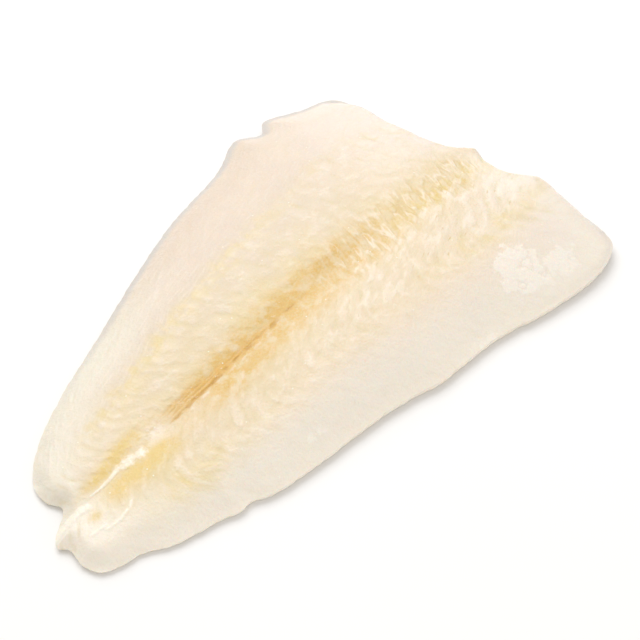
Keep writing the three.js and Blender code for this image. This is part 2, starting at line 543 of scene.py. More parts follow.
def mottle(place, size, detail, seed):
    """Noise, mostly between -1 and 1, with patches of a size, and finer detail in them."""
    node = place.tree.nodes.new("ShaderNodeTexNoise")
    node.noise_dimensions = "4D"
    feed(place.tree, place, node.inputs["Vector"])
    feed(place.tree, seed, node.inputs["W"])
    node.inputs["Scale"].default_value = 1.0 / size
    node.inputs["Detail"].default_value = detail
    return (Field(place.tree, node.outputs[0]) - NOISE_MIDDLE) * NOISE_SPREAD


print("helpers for node trees are ready")

# %% [markdown]
# ## The slab
# The first job of the tree is the slab itself: how thick the flesh is at the tail end, in the
# loin and at the head cut, how it thins towards the rim, and how the rim falls away. A sculpted
# mesh could do this too, but a rule with named sizes can be changed in the modifier panel.

# %% Thickness of the slab
LOIN_STARTS = 0.55
HEAD_STARTS = 0.85
LEFT_DROP = 0.4
RIGHT_DROP = 0.2
DROP_STARTS = 0.35
WIDEST_AT_TAIL = 0.33
WIDEST_AT_LOIN = 0.27
WIDEST_AT_HEAD = 0.36
WIDEST_SETTLES = 0.55
WIDEST_RISES = 0.75
SEAM_HALF_WIDTH = 9.0
SEAM_AT_HEAD_SHARE = 0.35
FURROW_HALF_WIDTH = 4.0
EASE = 1.5


def eased(part):
    """Starts very gently, and steepens towards the rim."""
    return part * part * part * (1.0 + EASE - part * EASE)


def slab_height(point, size):
    """Height above the table, in millimetres."""
    loin_share = rise(point.lengthwise, 0.0, LOIN_STARTS)
    head_share = rise(point.lengthwise, HEAD_STARTS, 1.0)
    loin = between(size["Tail thickness"], size["Loin thickness"], loin_share)
    thickness = between(loin, size["Head thickness"], head_share)
    drop = between(RIGHT_DROP, LEFT_DROP, point.left_side)
    outer = thickness * (rise(point.reach, DROP_STARTS, 1.0) * drop).flipped()
    seam_fade = between(1.0, SEAM_AT_HEAD_SHARE, rise(point.lengthwise, LOIN_STARTS, HEAD_STARTS))
    seam = hump(point.across, SEAM_HALF_WIDTH) * size["Seam depth"] * seam_fade
    furrow = hump(point.past_furrow, FURROW_HALF_WIDTH) * size["Furrow depth"] * point.left_side
    kept = eased(point.side_fall).flipped()
    kept = kept * eased(point.tail_fall).flipped() * eased(point.head_fall).flipped()
    widest = between(WIDEST_AT_TAIL, WIDEST_AT_LOIN, rise(point.lengthwise, 0.0, WIDEST_SETTLES))
    widest = between(widest, WIDEST_AT_HEAD, rise(point.lengthwise, WIDEST_RISES, 1.0))
    fall = between(widest, 1.0, kept)
    return (outer - seam - furrow) * fall * point.level


print("rim is widest at", WIDEST_AT_LOIN, "to", WIDEST_AT_HEAD, "of the height of the slab")

# %% [markdown]
# ## One chart for form and colour
# Form and colour have to agree: a white flake has to be the one that stands up. So each mark is
# worked out by a function that takes the chart, and the shaping tree and the colour tree both
# call it. The same noise with the same seed gives the same answer in both.

# %% Read the chart inside a tree
WHOLE_LENGTH = 320.0


def carried(tree, name):
    """A value that each point of the blank carries, as a field of either kind of tree."""
    if tree.type == "GEOMETRY":
        node = tree.nodes.new("GeometryNodeInputNamedAttribute")
        node.data_type = "FLOAT"
        node.inputs["Name"].default_value = name
        return Field(tree, node.outputs["Attribute"])
    node = tree.nodes.new("ShaderNodeAttribute")
    node.attribute_name = name
    return Field(tree, node.outputs["Fac"])


class Chart:
    """All values that the blank carries, as fields of one tree."""

    def __init__(self, tree):
        for name in blank_chart:
            setattr(self, name, carried(tree, name))
        self.plan = vector(self.along, self.across, 0.0)
        self.share = self.along / WHOLE_LENGTH
        self.right_side = self.left_side.flipped()


print("a tree can read", len(blank_chart), "values from the blank")

# %% [markdown]
# ## Flakes, wisps and cracks
# The front edge of a flake stands a little proud of the one before it, then the surface falls
# slowly to the next. One sawtooth drawn over the count makes them all. Noise bends the count,
# and lets each flake come and go along its length, because no real flake is whole. Wisps are
# the thin white sheets between flakes, and cracks are where two flakes have parted.

# %% Kinds of noise
RAGGED = {"detail": 5.0, "low": -0.6, "high": 0.3}
SHRED_DETAIL = 1.5


def patches(point, seed, size, detail, low, high):
    """Patches of noise: 1 inside and 0 between, with an edge that goes from low to high."""
    return rise(mottle(point.plan, size, detail, seed), low, high)


def ragged_patches(point, size, seed):
    return patches(point, seed, size, **RAGGED)


def waver(point, seed, size, detail, amount):
    """A slow wandering about zero."""
    return mottle(point.plan, size, detail, seed) * amount


def stretched(x, y, seed, x_size, y_size, detail):
    """Noise with patches of one size along x and another along y."""
    return mottle(vector(x / x_size, y / y_size, 0.0), 1.0, detail, seed)


def shreds(point, turn, width, length, seed):
    """Noise in long thin shreds, turned from the seam by an angle in degrees."""
    turn = math.radians(turn)
    run = point.along * math.cos(turn) + point.across * math.sin(turn)
    off = point.across * math.cos(turn) - point.along * math.sin(turn)
    return stretched(run, off, seed, length, width, SHRED_DETAIL)


print("noise edges run from", RAGGED["low"], "to", RAGGED["high"])

# %% Flakes, wisps and partings
BENDS = [{"size": 30.0, "amount": 0.3}, {"size": 9.0, "amount": 0.15}]
FLAKE_STEP = 3.7
FLAKE_PROFILE = [(0.0, 0.0), (0.14, 0.75), (0.28, 1.0), (0.6, 0.7), (1.0, 0.0)]
FLAKE_PIECE = 9.0
FLAKE_SHOWS = (-0.5, 0.6)
WISP_LENGTH = 9.0
WISP_BEND = {"detail": 2.0, "amount": 0.3}
WISP_BEND_SIZE = 14.0
MIDDLE = 0.5
PARTING_PIECE = 14.0
PARTING_SHOWS = (-0.3, 0.8)
PARTING_REACH = 0.18


def bent_count(point, seed):
    """The flake count, bent by slow and quick noise."""
    count = point.flake
    for bend in BENDS:
        count = count + waver(point, seed, detail=PLAIN, **bend)
    return count


def along_flake(point, count, piece, seed):
    """Noise that runs along each flake in pieces, different for every flake."""
    place = vector(count.math("FLOOR") * FLAKE_STEP, point.across / piece, 0.0)
    return mottle(place, 1.0, SOFT, seed)


def in_each(count, place, reach):
    """A hump at one place in every flake or strand, in shares of its width."""
    return hump(count.math("FRACT") - place, reach)


def flake_mark(point, count, seed):
    """0 between flakes, and up to 1 along the front edge of a flake that shows."""
    shows = rise(along_flake(point, count, FLAKE_PIECE, seed), *FLAKE_SHOWS)
    return drawn(count.math("FRACT"), FLAKE_PROFILE) * shows


def wisp_mark(point, count, fineness, seed):
    """Short streaks along the flakes, about zero. Finer ones are shorter too."""
    bent = count + waver(point, seed, WISP_BEND_SIZE / fineness, **WISP_BEND) / fineness
    place = vector(bent * fineness, point.across * fineness / WISP_LENGTH, 0.0)
    return mottle(place, 1.0, SOFT, seed)


def parting_mark(point, count, seed):
    """The line where two flakes meet, in the places where it shows. The colour tree paints shade along it.
    """
    shifted = count + MIDDLE
    shows = rise(along_flake(point, shifted, PARTING_PIECE, seed), *PARTING_SHOWS)
    return in_each(shifted, MIDDLE, PARTING_REACH) * shows


print("flakes are bent by", len(BENDS), "sizes of noise")

# %% Cracks and curds of the right loin, white ends of the left flakes
LOIN_STRENGTH = [(0.0, 0.0), (0.2, 0.1), (0.45, 0.35), (0.6, 0.9), (0.85, 1.0), (0.92, 0.2), (1.0, 0.0)]
LOIN_FROM_SEAM = (-5.0, -10.0)
LOIN_TO_FURROW = (6.0, -5.0)
LOIN_TURN = 24.0
CRACKS = {"width": 1.6, "length": 7.0, "low": 0.5, "high": 1.0}
CURDS = {"width": 4.0, "length": 9.0, "low": 0.0, "high": 0.6}
BLOB_STRENGTH = [(0.0, 0.0), (0.1, 0.5), (0.16, 1.0), (0.34, 1.0), (0.5, 0.5), (0.7, 0.15), (1.0, 0.0)]
BLOB_WAVER = {"size": 7.0, "detail": 3.0, "amount": 3.0}
BLOB_INSIDE_FURROW = 5.0
BLOB_LENGTH = 3.0
BLOB_IN_FLAKE = {"place": 0.4, "reach": 0.2}
BLOB_SHOWS = (-0.5, 0.5)
OTHER = 0.5


def loin_mark(point, gap, seed, width, length, low, high):
    """Shreds between the seam and the right furrow: dark cracks, or the curds between them."""
    band = rise(gap, *LOIN_FROM_SEAM) * rise(point.past_furrow, *LOIN_TO_FURROW)
    line = rise(shreds(point, LOIN_TURN, width, length, seed), low, high)
    return line * band * drawn(point.share, LOIN_STRENGTH)


def blob_mark(point, count, seed):
    """White ends of the left flakes, where they meet the furrow."""
    place = point.past_furrow + BLOB_INSIDE_FURROW + waver(point, seed + OTHER, **BLOB_WAVER)
    ends = hump(place, BLOB_LENGTH) * point.left_side
    shows = rise(along_flake(point, count, FLAKE_PIECE, seed), *BLOB_SHOWS)
    return in_each(count, **BLOB_IN_FLAKE) * ends * shows * drawn(point.share, BLOB_STRENGTH)


print("cracks are", CRACKS["length"], "mm long, curds", CURDS["length"], "mm")

# %% [markdown]
# ## The seam
# Near the tail the seam is a strip of brown strands with a sharp lower edge, the crease. Further
# on it loosens into a golden cloud, and towards the head into pockets of gold between thin white
# sheets. All of them are humps around a line, made uneven by noise.

# %% The crease and its strands
SEAM_WANDER = 0.6
SEAM_WANDER_SIZE = 20.0
SEAM_DRIFT = 2.4
SEAM_DRIFTS = (95.0, 200.0)
CREASE_STRENGTH = [(0.0, 0.0), (0.19, 0.0), (0.22, 0.9), (0.36, 1.0), (0.48, 0.5), (0.6, 0.0), (1.0, 0.0)]
CREASE_SHOWS = {"size": 6.0, "detail": 3.0, "low": -0.6, "high": 0.5}
CREASE_WAVER = {"size": 5.0, "detail": 3.0, "amount": 0.5}
CREASE_PLACE = 0.2
CREASE_HALF_WIDTH = 0.8
DRAWN_MM = 10.0
STRIP_STRENGTH = [
    (0.0, 0.0), (0.175, 0.0), (0.21, 0.45), (0.26, 0.85), (0.33, 1.0), (0.42, 0.6), (0.5, 0.0), (1.0, 0.0),
]
STRIP_WIDTH = [(0.0, 0.6), (0.19, 0.65), (0.22, 0.7), (0.28, 0.52), (0.34, 0.34), (0.41, 0.25), (1.0, 0.2)]
STRIP_LOWER_EDGE = (-0.8, 0.3)
STRIP_UPPER_EDGE = (1.6, -1.2)
STRIP_FRAY = {"x_size": 9.0, "y_size": 0.8, "detail": 2.0}
STRIP_FRAY_SHARE = 0.012
STRAND_SPACING = 1.8
STRAND_BEND = {"x_size": 12.0, "y_size": 3.0, "detail": 3.0}
STRAND_BEND_AMOUNT = 0.5
STRAND_SHOWS = {"size": 4.0, "detail": 3.0, "low": -0.8, "high": 0.5}
STRAND_REACH = 0.2
LIP_SHOWS = {"size": 5.0, "detail": 4.0, "low": -0.2, "high": 0.5}
LIP_WAVER = {"size": 6.0, "detail": 3.0, "amount": 0.8}
LIP_PLACE = 2.4
LIP_HALF_WIDTH = 1.0
LIP_STARTS = (55.0, 66.0)
LIP_ENDS = (150.0, 105.0)


def seam_gap(point, seed):
    """Distance from the crease, positive on the left. The crease wanders a little."""
    run = vector(point.along, 0.0, 0.0)
    drift = rise(point.along, *SEAM_DRIFTS) * SEAM_DRIFT
    return point.across - drift - mottle(run, SEAM_WANDER_SIZE, SOFT, seed) * SEAM_WANDER


def crease_mark(point, gap, seed):
    """The dark line of the seam, which comes and goes."""
    place = gap - CREASE_PLACE + waver(point, seed + OTHER, **CREASE_WAVER)
    line = hump(place, CREASE_HALF_WIDTH) * drawn(point.share, CREASE_STRENGTH)
    return line * patches(point, seed, **CREASE_SHOWS)


def strip_mark(point, gap, seed):
    """Brown strands that lie beside the crease on its left."""
    width = drawn(point.share, STRIP_WIDTH) * DRAWN_MM
    inside = rise(gap, *STRIP_LOWER_EDGE) * rise(gap - width, *STRIP_UPPER_EDGE)
    frayed = point.share + stretched(point.along, gap, seed, **STRIP_FRAY) * STRIP_FRAY_SHARE
    return inside * drawn(frayed, STRIP_STRENGTH)


def strand_lines(point, gap, seed):
    """Fine dark lines that run with the strands of the strip."""
    bend = stretched(point.along, gap, seed, **STRAND_BEND) * STRAND_BEND_AMOUNT
    line = in_each(gap / STRAND_SPACING + bend, MIDDLE, STRAND_REACH)
    return line * patches(point, seed, **STRAND_SHOWS)


def lip_mark(point, gap, seed):
    """The pale edge on the right of the crease."""
    line = hump(gap + LIP_PLACE + waver(point, seed + OTHER, **LIP_WAVER), LIP_HALF_WIDTH)
    stretch_of_seam = rise(point.along, *LIP_STARTS) * rise(point.along, *LIP_ENDS)
    return line * stretch_of_seam * patches(point, seed, **LIP_SHOWS)


print("strands lie", STRAND_SPACING, "mm apart")

# %% Pockets and sheets
GOLD_ENDS = (294.0, 284.0)
GOLD_END_SLANT = 0.35
POCKETS_START = (150.0, 210.0)
POCKET_TURN = 72.0
POCKET_ZONE_PLACE = 2.0
POCKET_ZONE_HALF_WIDTH = 13.0
SHEETS = {"width": 4.5, "length": 14.0}
SHEET_THICKNESS = 0.16
SHEET_PATCH = 7.0
SHEET_OTHER = 0.3


def before_cut(point):
    """Falls to 0 about a centimetre before the head cut, where the seam is white."""
    return rise(point.along + point.across * GOLD_END_SLANT, *GOLD_ENDS)


def sheet_mark(point, gap, level, seed):
    """Thin lines between the pockets: white sheets at one level, dark slits at another."""
    zone = hump(gap + POCKET_ZONE_PLACE, POCKET_ZONE_HALF_WIDTH) * rise(point.along, *POCKETS_START)
    line = hump(shreds(point, POCKET_TURN, seed=seed, **SHEETS) - level, SHEET_THICKNESS)
    return line * ragged_patches(point, SHEET_PATCH, seed + SHEET_OTHER) * zone * before_cut(point)


print("pockets start", POCKETS_START[0], "mm from the tail")

# %% Gold and its halo
GOLD_PLACE = [
    (0.0, 0.2), (0.03, 0.35), (0.06, 0.45), (0.1, 0.65), (0.16, 0.75), (0.22, 0.35),
    (0.3, 0.2), (0.42, 0.35), (0.62, 0.3), (0.72, 0.05), (0.8, 0.0), (1.0, 0.0),
]
GOLD_LEFT = [
    (0.0, 0.0), (0.025, 0.15), (0.05, 0.5), (0.09, 0.85), (0.15, 0.75), (0.19, 0.35), (0.25, 0.75),
    (0.32, 1.0), (0.42, 1.0), (0.6, 0.9), (0.72, 0.75), (0.82, 0.5), (0.93, 0.25), (1.0, 0.0),
]
GOLD_RIGHT = [
    (0.0, 0.0), (0.04, 0.1), (0.07, 0.5), (0.11, 0.9), (0.17, 0.95), (0.2, 0.35), (0.24, 0.3),
    (0.29, 0.65), (0.36, 0.55), (0.6, 0.5), (0.8, 0.65), (0.92, 0.35), (1.0, 0.1),
]
GOLD_WIDTHS = (3.2, 4.4)
GOLD_WIDENS_AT_TAIL = (15.0, 45.0)
GOLD_WIDENS = (60.0, 110.0)
GOLD_WIDENS_BY = 4.6
GOLD_RIGHT_PLACES = (6.5, 9.5)
GOLD_RIGHT_MOVES = (50.0, 90.0)
GOLD_RIGHT_WIDTH = 6.0
GOLD_PATCH = 6.0
GOLD_PATCHY_AT_TAIL = (0.6, 1.05)
GOLD_PATCHY = (0.35, 1.1)
GOLD_GETS_PATCHY = (45.0, 75.0)
POCKETS = {"width": 4.0, "length": 11.0}
POCKET_EDGE = (-0.4, 0.4)
POCKET_SHARE = 0.85
PATCH_SHARE = 0.3
HALO_LEFT = [
    (0.0, 0.0), (0.06, 0.1), (0.14, 0.45), (0.2, 0.6), (0.3, 0.75), (0.4, 0.9), (0.7, 0.45), (1.0, 0.15),
]
HALO_RIGHT = [
    (0.0, 0.0), (0.05, 0.2), (0.12, 0.9), (0.2, 0.4), (0.26, 0.45), (0.32, 0.7), (0.4, 0.65),
    (0.7, 0.45), (1.0, 0.2),
]
HALO_TURNS = (-4.0, 4.0)
HALO_PLACE = 8.0
HALO_HALF_WIDTH = {"left": 21.0, "right": 15.0}
HALO_PATCH = 12.0
HALO_PATCHY = (0.55, 1.15)


def gold_mark(point, gap, seed):
    """Golden lobes on both sides of the crease, which break into pockets towards the head."""
    width = between(*GOLD_WIDTHS, rise(point.along, *GOLD_WIDENS_AT_TAIL))
    width = width + rise(point.along, *GOLD_WIDENS) * GOLD_WIDENS_BY
    left_place = drawn(point.share, GOLD_PLACE) * DRAWN_MM
    left = hump(gap - left_place, width) * drawn(point.share, GOLD_LEFT)
    right_place = between(*GOLD_RIGHT_PLACES, rise(point.along, *GOLD_RIGHT_MOVES))
    right = hump(gap + right_place, GOLD_RIGHT_WIDTH) * drawn(point.share, GOLD_RIGHT)
    ragged = ragged_patches(point, GOLD_PATCH, seed)
    at_tail = between(*GOLD_PATCHY_AT_TAIL, ragged)
    patchy = between(at_tail, between(*GOLD_PATCHY, ragged), rise(point.along, *GOLD_GETS_PATCHY))
    pockets = rise(shreds(point, POCKET_TURN, seed=seed, **POCKETS), *POCKET_EDGE)
    broken = pockets * POCKET_SHARE + patchy * PATCH_SHARE
    return (left + right) * between(patchy, broken, rise(point.along, *POCKETS_START)) * before_cut(point)


def halo_mark(point, gap, seed):
    """A wide soft yellow on both sides of the seam."""
    turn = rise(gap, *HALO_TURNS)
    left = hump(gap - HALO_PLACE, HALO_HALF_WIDTH["left"]) * drawn(point.share, HALO_LEFT)
    right = hump(gap + HALO_PLACE, HALO_HALF_WIDTH["right"]) * drawn(point.share, HALO_RIGHT)
    patchy = between(*HALO_PATCHY, ragged_patches(point, HALO_PATCH, seed))
    return between(right, left, turn) * patchy * before_cut(point)


print("gold fades out", GOLD_ENDS[0], "mm from the tail")

# %% [markdown]
# ## Furrows, rim and frost
# A yellow line with a soft glow follows the furrow on the left. On the right the furrow shows as
# yellow streaks that lie along the flakes. The left rim has long pale streaks beside the cut
# edge, and frost has settled on the right in a few rough patches.

# %% Yellow in the furrows
YELLOW_LEFT = [
    (0.0, 0.0), (0.06, 0.1), (0.13, 0.7), (0.2, 1.0), (0.38, 0.9), (0.55, 0.6), (0.7, 0.25), (1.0, 0.1),
]
YELLOW_RIGHT = [
    (0.0, 0.0), (0.07, 0.1), (0.11, 0.5), (0.15, 1.0), (0.19, 0.95), (0.24, 0.4), (0.48, 0.25),
    (0.62, 0.35), (0.73, 0.6), (0.84, 0.8), (0.91, 0.4), (0.97, 0.0), (1.0, 0.0),
]
YELLOW_WAVER = {"size": 12.0, "detail": 2.0, "amount": 2.2}
YELLOW_PATCH = 5.0
YELLOW_PATCHY = (0.2, 1.1)
LINE_HALF_WIDTH = 2.6
LINE_SHARE = 0.35
GLOW_PLACE = 4.0
GLOW_HALF_WIDTH = 7.0
GLOW_SHARE = 0.6
STREAKS_PER_FLAKE = 1.4
STREAK_LENGTH = 15.0
STREAK_EDGE = (-0.5, 0.5)
STREAKY = (0.4, 1.0)
STREAKS_OUTWARD = (5.0, 1.0)
STREAKS_MOVE_IN = (55.0, 90.0)
STREAKS_HALF_WIDTH = 8.0


def yellow_mark(point, count, seed):
    """A wavering line on the left, and streaks on the right."""
    place = point.past_furrow + waver(point, seed, **YELLOW_WAVER)
    patchy = between(*YELLOW_PATCHY, ragged_patches(point, YELLOW_PATCH, seed + OTHER))
    line = hump(place, LINE_HALF_WIDTH) * LINE_SHARE
    glow = hump(place + GLOW_PLACE, GLOW_HALF_WIDTH) * GLOW_SHARE
    left = (line + glow) * drawn(point.share, YELLOW_LEFT) * patchy
    streak_place = vector(count * STREAKS_PER_FLAKE, point.across / STREAK_LENGTH, 0.0)
    streaks = rise(mottle(streak_place, 1.0, SOFT, seed), *STREAK_EDGE)
    outward = between(*STREAKS_OUTWARD, rise(point.along, *STREAKS_MOVE_IN))
    right = hump(place - outward, STREAKS_HALF_WIDTH) * between(*STREAKY, streaks)
    return between(right * drawn(point.share, YELLOW_RIGHT), left, point.left_side)


print("yellow streaks are", STREAK_LENGTH, "mm long")

# %% Pale streaks at the rim, frost and sparkles
RIM_WARP = {"size": 20.0, "detail": 1.0, "amount": 2.0}
RIM_STREAKS = {"x_size": 1.4, "y_size": 10.0, "detail": 4.0}
RIM_STREAK_SHARES = (1.0, 0.35)
RIM_STREAKS_FADE = (110.0, 170.0)
FROST_PATCHES = [
    {"along": 243.0, "across": -67.0, "half_length": 15.0, "half_width": 14.5, "strength": 1.0},
    {"along": 266.5, "across": -78.7, "half_length": 11.0, "half_width": 9.0, "strength": 0.75},
    {"along": 105.5, "across": -53.3, "half_length": 11.0, "half_width": 3.2, "strength": 0.55},
    {"along": 203.0, "across": -78.0, "half_length": 9.0, "half_width": 3.0, "strength": 0.65},
]
FROST_WAVER = {"size": 6.0, "detail": 5.0, "amount": 0.4}
FROST_EDGE = (0.42, 0.54)
# Sparkles are painted glints of the ice glaze: white dots with a small bump.
SPARKLE_SPACING = 4.5
SPARKLE_SHIFT = 3.0
SPARKLE_EDGE = (0.12, 0.05)
SPARKLES_CHOSEN = (0.88, 0.9)


def rim_streaks(point, seed):
    """Streaks that run beside the cut edge, about zero."""
    inward = point.inward + waver(point, seed, **RIM_WARP)
    lines = stretched(inward, point.along, seed, **RIM_STREAKS)
    return lines * between(*RIM_STREAK_SHARES, rise(point.along, *RIM_STREAKS_FADE))


def round_patch(point, along, across, half_length, half_width, strength):
    """As strong as given in the middle of a patch, falling away all round."""
    lengthwise = hump(point.along - along, half_length)
    return lengthwise * hump(point.across - across, half_width) * strength


def frost_mark(point, seed):
    """1 in the middle of a frosted patch, with a ragged border."""
    total = waver(point, seed, **FROST_WAVER)
    for patch in FROST_PATCHES:
        total = total + round_patch(point, **patch)
    return rise(total, *FROST_EDGE)


def painted_glint_mark(point):
    """Painted glints of the ice glaze: small round white dots in a few of the cells of a loose grid."""
    across = point.across / SPARKLE_SPACING
    place = vector(point.along / SPARKLE_SPACING + SPARKLE_SHIFT, across, 0.0)
    node = place.tree.nodes.new("ShaderNodeTexVoronoi")
    node.voronoi_dimensions = "2D"
    feed(place.tree, place, node.inputs["Vector"])
    node.inputs["Scale"].default_value = 1.0
    near = rise(Field(place.tree, node.outputs["Distance"]), *SPARKLE_EDGE)
    return near * rise(Field(place.tree, node.outputs["Color"]), *SPARKLES_CHOSEN)


print("frost patches:", len(FROST_PATCHES))

# %% White strands at the tail
TENDON_UPPER = (28.0, 37.0)
TENDON_WIDTHS = (0.65, 1.1)
TENDON_WIDENS = (16.0, 26.0)
TENDON_UPPER_WIDTH = 1.2
TENDON_RAGGED = (0.15, 2.0)
TENDON_EDGE = (1.3, 0.3)
KNOB_SIZE = 2.5
TAB_RAGGED = 0.8
TAB_EDGE = (2.7, 1.2)
PALE_ALONG = 56.0
PALE_HALF_LENGTH = 9.0
PALE_LEFT_OF_SEAM = 3.0
PALE_HALF_WIDTH = 5.5
PALE_PATCH = 4.0
CURL_HALF_WIDTH = 0.8
CURL_SHOWS = {"size": 3.0, "detail": 2.0, "low": -0.8, "high": 0.2}
SPOT = {"along": 8.8, "across": -8.6, "half_length": 3.0, "half_width": 2.4, "strength": 1.0}
SPOT_PATCH = 3.0
SPOT_PATCHY = (0.5, 0.9)


def tendon_mark(point, seed):
    """The tendon, which is thin at the tail and ragged at its upper end."""
    upper = rise(point.along, *TENDON_UPPER)
    width = between(*TENDON_WIDTHS, rise(point.along, *TENDON_WIDENS)) + upper * TENDON_UPPER_WIDTH
    ragged = mottle(point.plan, KNOB_SIZE, UNEVEN, seed) * between(*TENDON_RAGGED, upper)
    return rise(point.tendon + ragged, *[width * share for share in TENDON_EDGE])


def tab_mark(point, seed):
    """The knobbly tab at the end of the seam."""
    return rise(point.tab + mottle(point.plan, KNOB_SIZE, UNEVEN, seed) * TAB_RAGGED, *TAB_EDGE)


def pale_mark(point, gap, seed):
    """A pale patch on the seam, between the tendon and the strip."""
    lengthwise = hump(point.along - PALE_ALONG, PALE_HALF_LENGTH)
    sideways = hump(gap - PALE_LEFT_OF_SEAM, PALE_HALF_WIDTH)
    return lengthwise * sideways * ragged_patches(point, PALE_PATCH, seed)


def curl_mark(point, seed):
    """Two thin strands that curl on the right lobe."""
    return hump(point.strand, CURL_HALF_WIDTH) * patches(point, seed, **CURL_SHOWS)


def spot_mark(point, seed):
    """A small yellow spot between the tab and the curling strands."""
    patchy = between(*SPOT_PATCHY, ragged_patches(point, SPOT_PATCH, seed))
    return round_patch(point, **SPOT) * patchy


print("tendon starts", TENDON[0][0], "mm and ends", TENDON[-1][0], "mm from the tail")

# %% [markdown]
# ## All marks together
# This class collects the marks for one tree. The seed is a number in the colour tree and an
# input in the shaping tree, so one number changes the whole fillet. Each mark adds a number of
# its own to the seed, and only marks that belong together share one.

# %% Collect the marks
OFF_SEAM = (2.0, 7.0)
SPREADS = (30.0, 60.0)
CALM_FROM = (-7.0, 0.0)
CALM_TO = (3.0, 20.0)
CALM_SHARES = (0.15, 0.25)
FLECK_SHARES = (0.15, 0.5)
WISP_FINENESS = 1.2
FLECK_FINENESS = 4.0
SHEET_LEVEL = 0.25
SLIT_LEVEL = -0.15
GRAIN_SIZE = 2.4
PIT_SIZE = 7.0
PIT_LEVEL = 0.5
PIT_REACH = 0.12


class Marks:
    """Every mark on the fillet, worked out for one tree."""

    def __init__(self, point, seed):
        gap = seam_gap(point, seed)
        count = bent_count(point, seed)
        off_seam = rise(gap.math("ABSOLUTE"), *OFF_SEAM)
        spread = rise(point.along, *SPREADS) * point.right_side
        outer = rise(point.past_furrow, between(*CALM_FROM, spread), between(*CALM_TO, spread))
        calm = between(1.0, between(*CALM_SHARES, point.left_side), outer) * off_seam
        fleck_calm = between(1.0, between(*FLECK_SHARES, point.left_side), outer)
        self.flakes = flake_mark(point, count, seed) * calm
        self.wisps = wisp_mark(point, count, WISP_FINENESS, seed + 1.0) * calm
        self.flecks = wisp_mark(point, count, FLECK_FINENESS, seed + 1.5) * fleck_calm
        self.partings = parting_mark(point, count, seed + 1.7) * calm
        self.cracks = loin_mark(point, gap, seed + 2.0, **CRACKS)
        self.curds = loin_mark(point, gap, seed + 2.5, **CURDS)
        self.blobs = blob_mark(point, count, seed + 3.0)
        self.crease = crease_mark(point, gap, seed + 4.0)
        self.strip = strip_mark(point, gap, seed + 5.0)
        self.strands = strand_lines(point, gap, seed + 5.0) * self.strip
        self.lip = lip_mark(point, gap, seed + 6.0)
        self.gold = gold_mark(point, gap, seed + 7.0)
        self.sheets = sheet_mark(point, gap, SHEET_LEVEL, seed + 7.0)
        self.slits = sheet_mark(point, gap, SLIT_LEVEL, seed + 7.0)
        self.halo = halo_mark(point, gap, seed + 8.0)
        self.yellow = yellow_mark(point, count, seed + 9.0)
        self.streaks = rim_streaks(point, seed + 10.0) * outer * point.left_side
        self.frost = frost_mark(point, seed + 11.0)
        self.tendon = tendon_mark(point, seed + 12.0)
        self.tab = tab_mark(point, seed + 13.0)
        self.curls = curl_mark(point, seed + 14.0)
        self.pale = pale_mark(point, gap, seed + 14.5)
        self.grain = mottle(point.plan, GRAIN_SIZE, UNEVEN, seed + 15.0)
        pit_noise = mottle(point.plan, PIT_SIZE, SOFT, seed + 16.0)
        self.pits = hump(pit_noise - PIT_LEVEL, PIT_REACH) * self.frost
        self.spot = spot_mark(point, seed + 17.0)


print("marks are ready for both trees")

# %% [markdown]
# ## The shaping tree
# Now the pieces of arithmetic go into one tree. It lifts the flat blank to the height of the
# slab, then pushes the surface in and out along its normals for each mark. Its sizes are inputs,
# so a flatter or a craggier fillet is a matter of a few numbers in the modifier panel. They are
# in millimetres, apart from the seed, and a mark with a minus sign is sunk.

# %% Parts of the tree
def open_tree(name, sizes):
    """A new tree with a mesh going in and out, a size for each name, and a material."""
    tree = bpy.data.node_groups.new(name, "GeometryNodeTree")
    tree.interface.new_socket("Mesh", in_out="INPUT", socket_type="NodeSocketGeometry")
    for label, size in sizes.items():
        socket = tree.interface.new_socket(label, in_out="INPUT", socket_type="NodeSocketFloat")
        socket.default_value = size
    tree.interface.new_socket("Material", in_out="INPUT", socket_type="NodeSocketMaterial")
    tree.interface.new_socket("Mesh", in_out="OUTPUT", socket_type="NodeSocketGeometry")
    return tree, tree.nodes.new("NodeGroupInput")


def move_points(tree, mesh, offset):
    node = tree.nodes.new("GeometryNodeSetPosition")
    tree.links.new(mesh, node.inputs["Geometry"])
    tree.links.new(offset.socket, node.inputs["Offset"])
    return node.outputs["Geometry"]


def close_tree(tree, entry, mesh):
    """Ends a tree with Realize Instances and Set Material."""
    plain = tree.nodes.new("GeometryNodeRealizeInstances")
    paint = tree.nodes.new("GeometryNodeSetMaterial")
    leave = tree.nodes.new("NodeGroupOutput")
    tree.links.new(mesh, plain.inputs["Geometry"])
    tree.links.new(plain.outputs["Geometry"], paint.inputs["Geometry"])
    tree.links.new(entry.outputs["Material"], paint.inputs["Material"])
    tree.links.new(paint.outputs["Geometry"], leave.inputs["Mesh"])


def along_normal(tree, amount):
    """A push along the surface's own normal."""
    normal = tree.nodes.new("GeometryNodeInputNormal")
    node = tree.nodes.new("ShaderNodeVectorMath")
    node.operation = "SCALE"
    tree.links.new(normal.outputs[0], node.inputs[0])
    feed(tree, amount, node.inputs["Scale"])
    return Field(tree, node.outputs["Vector"])


print("parts of the tree are ready")

# %% Sizes of the fillet and of its relief
SEED = 7.0
RELIEF = {
    "flakes": 0.2,
    "wisps": 0.12,
    "flecks": 0.06,
    "partings": -0.1,
    "cracks": -0.3,
    "curds": 0.1,
    "blobs": 0.1,
    "crease": -0.35,
    "strands": -0.3,
    "lip": 0.35,
    "pockets": -0.25,
    "sheets": 0.15,
    "slits": -0.15,
    "tendon": 0.3,
    "tab": 0.4,
    "curls": 0.35,
    "streaks": 0.2,
    "frost": 0.12,
    "pits": -0.24,
    "grain": 0.06,
}


def relief_label(mark):
    return "Relief of " + mark


